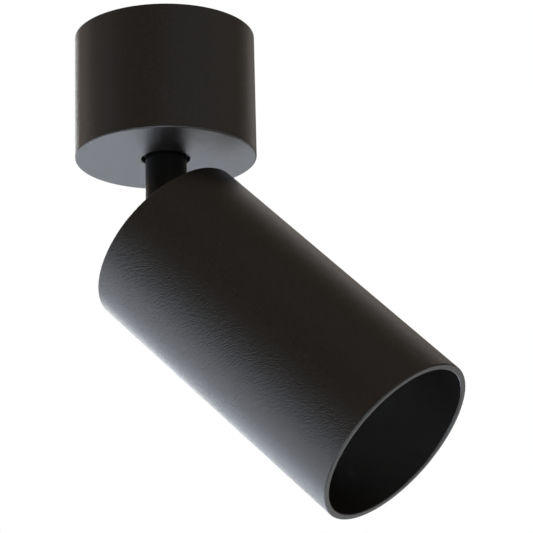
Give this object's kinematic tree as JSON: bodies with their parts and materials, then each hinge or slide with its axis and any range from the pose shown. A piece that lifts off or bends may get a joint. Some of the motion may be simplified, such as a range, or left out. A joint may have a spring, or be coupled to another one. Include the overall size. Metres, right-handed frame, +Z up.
{
  "type": "surface mounted ceiling spotlight",
  "caption": "Black cylindrical tube spotlight that tilts and swivels on a short neck below a round ceiling canopy; takes one twist-lock reflector lamp.",
  "frame": {"origin": "middle of the canopy's top plane, on the ceiling, midway between the two ceiling screws", "axes": "+Z up into the ceiling, along the swivel axis; +X the way the head leans at rest; the tilt axis lies along Y"},
  "size_m": [0.1193, 0.056, 0.1581],
  "materials": {
    "black_coat": "black fine-grained powder coat on aluminium, satin-matt",
    "black_satin": "smooth satin black coat on turned aluminium",
    "black_steel": "black electrocoated sheet steel",
    "zinc_steel": "bright zinc-plated steel",
    "spring_steel": "oiled spring steel",
    "black_screw": "blackened steel",
    "tinned_brass": "tin-plated brass",
    "brass": "turned brass",
    "nickel": "nickel-plated brass",
    "bronze": "sprung bronze strip",
    "black_nylon": "black moulded nylon",
    "white_nylon": "natural white moulded nylon",
    "steatite": "unglazed white ceramic",
    "lamp_shell": "pale grey moulded plastic",
    "clear_lens": "moulded clear lens",
    "brown_lead": "brown silicone insulation",
    "blue_lead": "blue silicone insulation",
    "green_yellow_lead": "green and yellow striped insulation",
    "sleeved_lead": "woven glass sleeve over silicone"
  },
  "bodies": {
    "canopy": {"canopy_housing": "black_coat", "ceiling_bracket": "zinc_steel", "grub_screws": "black_screw", "terminal_block": "white_nylon", "terminal_barrels": "brass", "terminal_screws": "zinc_steel", "terminal_fixing_screw": "zinc_steel", "earth_tag": "tinned_brass", "earth_screw": "zinc_steel", "neck_bush": "black_nylon", "stop_pin": "zinc_steel", "canopy_live_lead": "brown_lead", "canopy_neutral_lead": "blue_lead", "canopy_earth_lead": "green_yellow_lead"},
    "neck": {"neck_tube": "black_satin", "stop_washer": "zinc_steel", "disc_spring": "spring_steel", "lock_nut": "brass", "trunnion_screws": "black_screw", "hinge_washers": "black_nylon", "neck_leads": "sleeved_lead"},
    "head": {"head_tube": "black_coat", "rear_cap": "black_coat", "hinge_bracket": "black_steel", "cap_screws": "black_screw", "holder_bracket": "zinc_steel", "lampholder": "steatite", "holder_contacts": "bronze", "holder_screws": "zinc_steel", "lamp_body": "lamp_shell", "lamp_lens": "clear_lens", "lamp_pins": "nickel", "glare_ring": "black_nylon", "head_leads": "sleeved_lead", "head_earth_tag": "tinned_brass", "head_earth_lead": "green_yellow_lead"}
  },
  "joints": [
    {"name": "neck_swivel", "type": "hinge", "parent": "canopy", "child": "neck", "pos_m": [0, 0, -0.037], "axis": [0, 0, 1], "range_deg": [-165, 165]},
    {"name": "head_tilt", "type": "hinge", "parent": "neck", "child": "head", "pos_m": [0, 0, -0.0668], "axis": [0, -1, 0], "range_deg": [-45, 15]}
  ]
}
